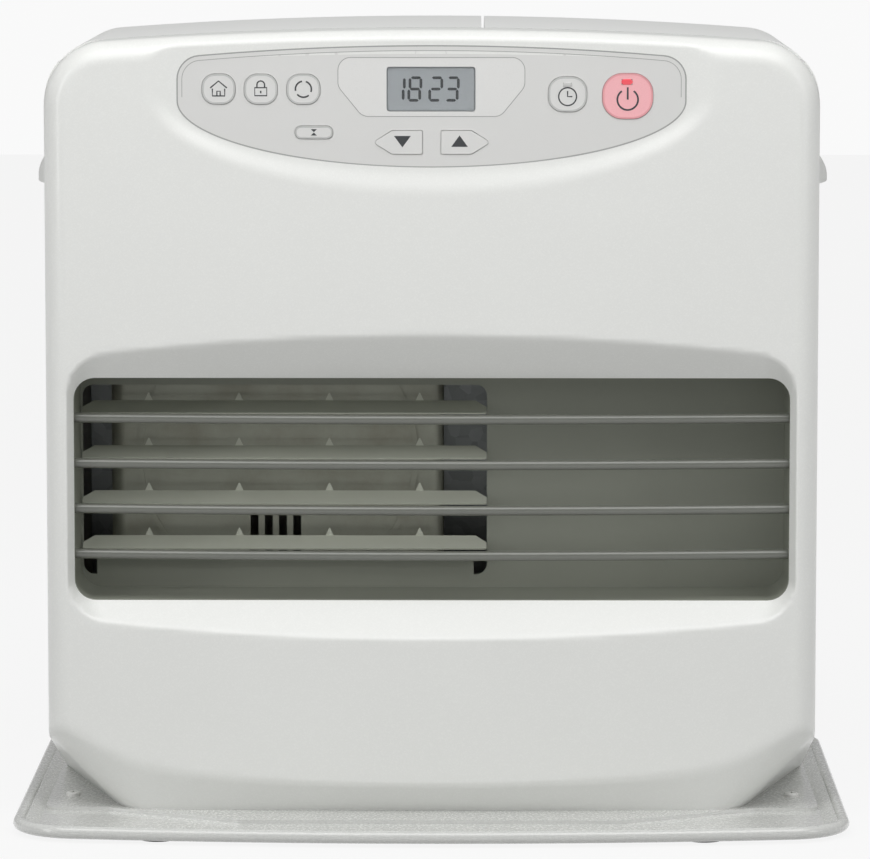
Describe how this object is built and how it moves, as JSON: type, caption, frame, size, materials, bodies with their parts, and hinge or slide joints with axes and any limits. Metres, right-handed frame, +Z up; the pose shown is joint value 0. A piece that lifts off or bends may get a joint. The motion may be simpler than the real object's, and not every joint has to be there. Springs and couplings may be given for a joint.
{
  "type": "paraffin heater",
  "caption": "Free-standing paraffin fan heater on a drip tray, with a louvred warm air outlet, a control panel and a lift-out fuel tank under a hinged lid.",
  "frame": {"origin": "middle of the drip tray's footprint, on the floor", "axes": "+X to the right seen from the front, +Y to the back, +Z up; the front faces -Y"},
  "size_m": [0.463, 0.322, 0.442],
  "materials": {
    "tray_enamel": "pearl grey enamel",
    "foot_rubber": "moulded black rubber",
    "screw_steel": "bright zinc plated",
    "galvanised_sheet": "galvanised sheet steel",
    "front_enamel": "pearl white satin enamel",
    "cabinet_enamel": "pearl white satin enamel",
    "rear_enamel": "light grey enamel",
    "top_enamel": "light grey satin enamel",
    "deck_plastic": "moulded grey plastic",
    "pin_steel": "ground steel pin",
    "grip_plastic": "moulded light grey plastic",
    "control_plastic": "moulded pale grey plastic",
    "bezel_plastic": "printed film on plastic",
    "window_glass": "clear moulded window",
    "lcd_glass": "grey display glass",
    "lamp_plastic": "tinted light pipe",
    "button_plastic": "moulded pale grey plastic",
    "power_plastic": "moulded pink plastic",
    "board_laminate": "green circuit board",
    "outlet_enamel": "olive grey heat-proof paint",
    "rod_enamel": "dark satin enamel on steel rod",
    "chamber_steel": "aluminised sheet dulled by heat",
    "burner_steel": "heat-tinted stainless sheet",
    "vaporizer_aluminium": "cast aluminium",
    "nozzle_brass": "turned brass",
    "electrode_ceramic": "glazed ceramic",
    "black_plastic": "moulded black plastic",
    "motor_steel": "dark painted motor can",
    "fan_aluminium": "pressed aluminium",
    "guard_wire": "dark enamelled wire",
    "pump_steel": "grey painted steel",
    "pipe_brass": "drawn copper alloy tube",
    "tank_steel": "pale grey painted tin plate",
    "cap_plastic": "moulded red plastic",
    "handle_plastic": "black plastic on steel wire"
  },
  "bodies": {
    "cabinet": {"base_tray": "tray_enamel", "rubber_feet": "foot_rubber", "tray_screws": "screw_steel", "chassis_base": "galvanised_sheet", "front_panel": "front_enamel", "left_side_panel": "cabinet_enamel", "right_side_panel": "cabinet_enamel", "rear_panel": "rear_enamel", "panel_screws": "screw_steel", "top_panel": "top_enamel", "tank_deck": "deck_plastic", "lid_hinge_pins": "pin_steel", "left_grip": "grip_plastic", "right_grip": "grip_plastic", "wall_spacers": "grip_plastic", "control_plate": "control_plastic", "display_bezel": "bezel_plastic", "display_window": "window_glass", "lcd_module": "lcd_glass", "indicator_lights": "lamp_plastic", "control_board": "board_laminate", "outlet_box": "outlet_enamel", "louvre_blades": "outlet_enamel", "guard_rods": "rod_enamel", "warm_air_duct": "galvanised_sheet", "combustion_chamber": "chamber_steel", "burner_pot": "burner_steel", "burner_ring": "burner_steel", "vaporizer": "vaporizer_aluminium", "nozzle": "nozzle_brass", "igniter": "electrode_ceramic", "flame_rod": "electrode_ceramic", "air_box": "galvanised_sheet", "blower_housing": "black_plastic", "blower_motor": "motor_steel", "fan_ring": "galvanised_sheet", "fan_motor": "motor_steel", "fan_guard": "guard_wire", "fuel_pump": "pump_steel", "fuel_pipes": "pipe_brass", "sump_tank": "galvanised_sheet", "tank_well": "galvanised_sheet", "main_board": "board_laminate", "room_sensor": "grip_plastic", "cord_gland": "black_plastic"},
    "lid": {"tank_lid": "top_enamel"},
    "tank": {"cartridge_tank": "tank_steel", "tank_cap": "cap_plastic"},
    "handle": {"tank_handle": "handle_plastic"},
    "fan": {"fan_impeller": "fan_aluminium"},
    "blower": {"blower_wheel": "black_plastic"},
    "filter": {"air_filter": "black_plastic"},
    "eco_key": {"eco_button": "button_plastic"},
    "lock_key": {"key_lock_button": "button_plastic"},
    "circulation_key": {"circulation_button": "button_plastic"},
    "run_on_key": {"run_on_button": "button_plastic"},
    "down_key": {"temperature_down_button": "button_plastic"},
    "up_key": {"temperature_up_button": "button_plastic"},
    "timer_key": {"timer_button": "button_plastic"},
    "power_key": {"power_button": "power_plastic"}
  },
  "joints": [
    {"name": "lid_hinge", "type": "hinge", "parent": "cabinet", "child": "lid", "pos_m": [0.1, 0.1395, 0.429], "axis": [-1, 0, 0], "range_deg": [0, 95]},
    {"name": "tank_lift", "type": "slide", "parent": "cabinet", "child": "tank", "axis": [0, 0, 1], "range_m": [0, 0.006]},
    {"name": "handle_hinge", "type": "hinge", "parent": "tank", "child": "handle", "pos_m": [0.111, 0.056, 0.391], "axis": [-1, 0, 0], "range_deg": [0, 90]},
    {"name": "fan_spin", "type": "hinge", "parent": "cabinet", "child": "fan", "pos_m": [-0.088, 0.125, 0.19], "axis": [0, 1, 0], "continuous": true},
    {"name": "blower_spin", "type": "hinge", "parent": "cabinet", "child": "blower", "pos_m": [-0.168, 0.1, 0.044], "axis": [0, 1, 0], "continuous": true},
    {"name": "filter_pull", "type": "slide", "parent": "cabinet", "child": "filter", "axis": [0, 1, 0], "range_m": [0, 0.03]},
    {"name": "eco_press", "type": "slide", "parent": "cabinet", "child": "eco_key", "axis": [0, 1, 0], "range_m": [0, 0.0008], "stiffness_N_per_m": 400},
    {"name": "lock_press", "type": "slide", "parent": "cabinet", "child": "lock_key", "axis": [0, 1, 0], "range_m": [0, 0.0008], "stiffness_N_per_m": 400},
    {"name": "circulation_press", "type": "slide", "parent": "cabinet", "child": "circulation_key", "axis": [0, 1, 0], "range_m": [0, 0.0008], "stiffness_N_per_m": 400},
    {"name": "run_on_press", "type": "slide", "parent": "cabinet", "child": "run_on_key", "axis": [0, 1, 0], "range_m": [0, 0.0008], "stiffness_N_per_m": 400},
    {"name": "down_press", "type": "slide", "parent": "cabinet", "child": "down_key", "axis": [0, 1, 0], "range_m": [0, 0.0008], "stiffness_N_per_m": 400},
    {"name": "up_press", "type": "slide", "parent": "cabinet", "child": "up_key", "axis": [0, 1, 0], "range_m": [0, 0.0008], "stiffness_N_per_m": 400},
    {"name": "timer_press", "type": "slide", "parent": "cabinet", "child": "timer_key", "axis": [0, 1, 0], "range_m": [0, 0.0008], "stiffness_N_per_m": 400},
    {"name": "power_press", "type": "slide", "parent": "cabinet", "child": "power_key", "axis": [0, 1, 0], "range_m": [0, 0.0008], "stiffness_N_per_m": 400}
  ]
}
